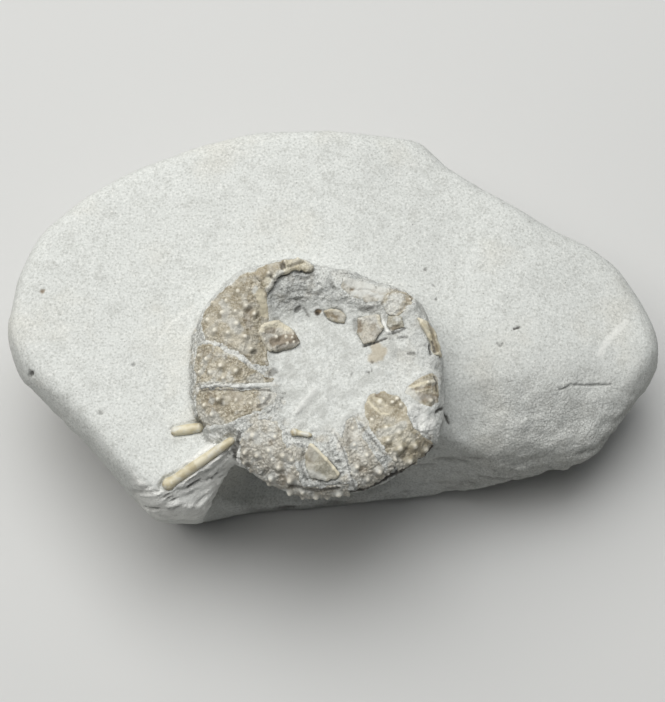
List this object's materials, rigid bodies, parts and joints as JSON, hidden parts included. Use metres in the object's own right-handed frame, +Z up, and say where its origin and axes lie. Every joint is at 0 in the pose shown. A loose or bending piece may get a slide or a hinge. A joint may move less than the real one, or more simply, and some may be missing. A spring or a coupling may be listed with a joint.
{
  "type": "fossil sea urchin",
  "caption": "Broken sea urchin fossil with knobbed shell plates and loose spines, standing proud of a rounded pale stone that rests on a flat foot.",
  "frame": {"origin": "centre of the object's box at the level of the stone's flat foot", "axes": "+X along the stone's longest extent, +Y from the notched front to the back, +Z up"},
  "size_m": [0.1708, 0.1052, 0.0663],
  "materials": {
    "limestone": "matt, fine-grained and dusty",
    "tan_shell": "matt with dull waxy spots",
    "grey_shell": "matt, powdered with stone dust",
    "cream_shell": "matt, slightly waxy",
    "spine_calcite": "smooth, slightly waxy"
  },
  "bodies": {
    "root": {"matrix_stone": "limestone", "upper_left_plates": "tan_shell", "tongue_plate": "grey_shell", "upper_left_rim": "cream_shell", "left_plates": "tan_shell", "lower_left_plates": "tan_shell", "front_plates": "grey_shell", "triangular_plate": "cream_shell", "front_right_plates": "grey_shell", "right_front_plates": "tan_shell", "right_plate": "tan_shell", "right_rim_splinter": "cream_shell", "upper_right_splinter": "tan_shell", "square_plate": "grey_shell", "small_square_plate": "cream_shell", "back_right_plates": "grey_shell", "plate_chip": "tan_shell", "long_spine": "spine_calcite", "short_spine": "spine_calcite", "small_spine": "spine_calcite"}
  },
  "joints": []
}
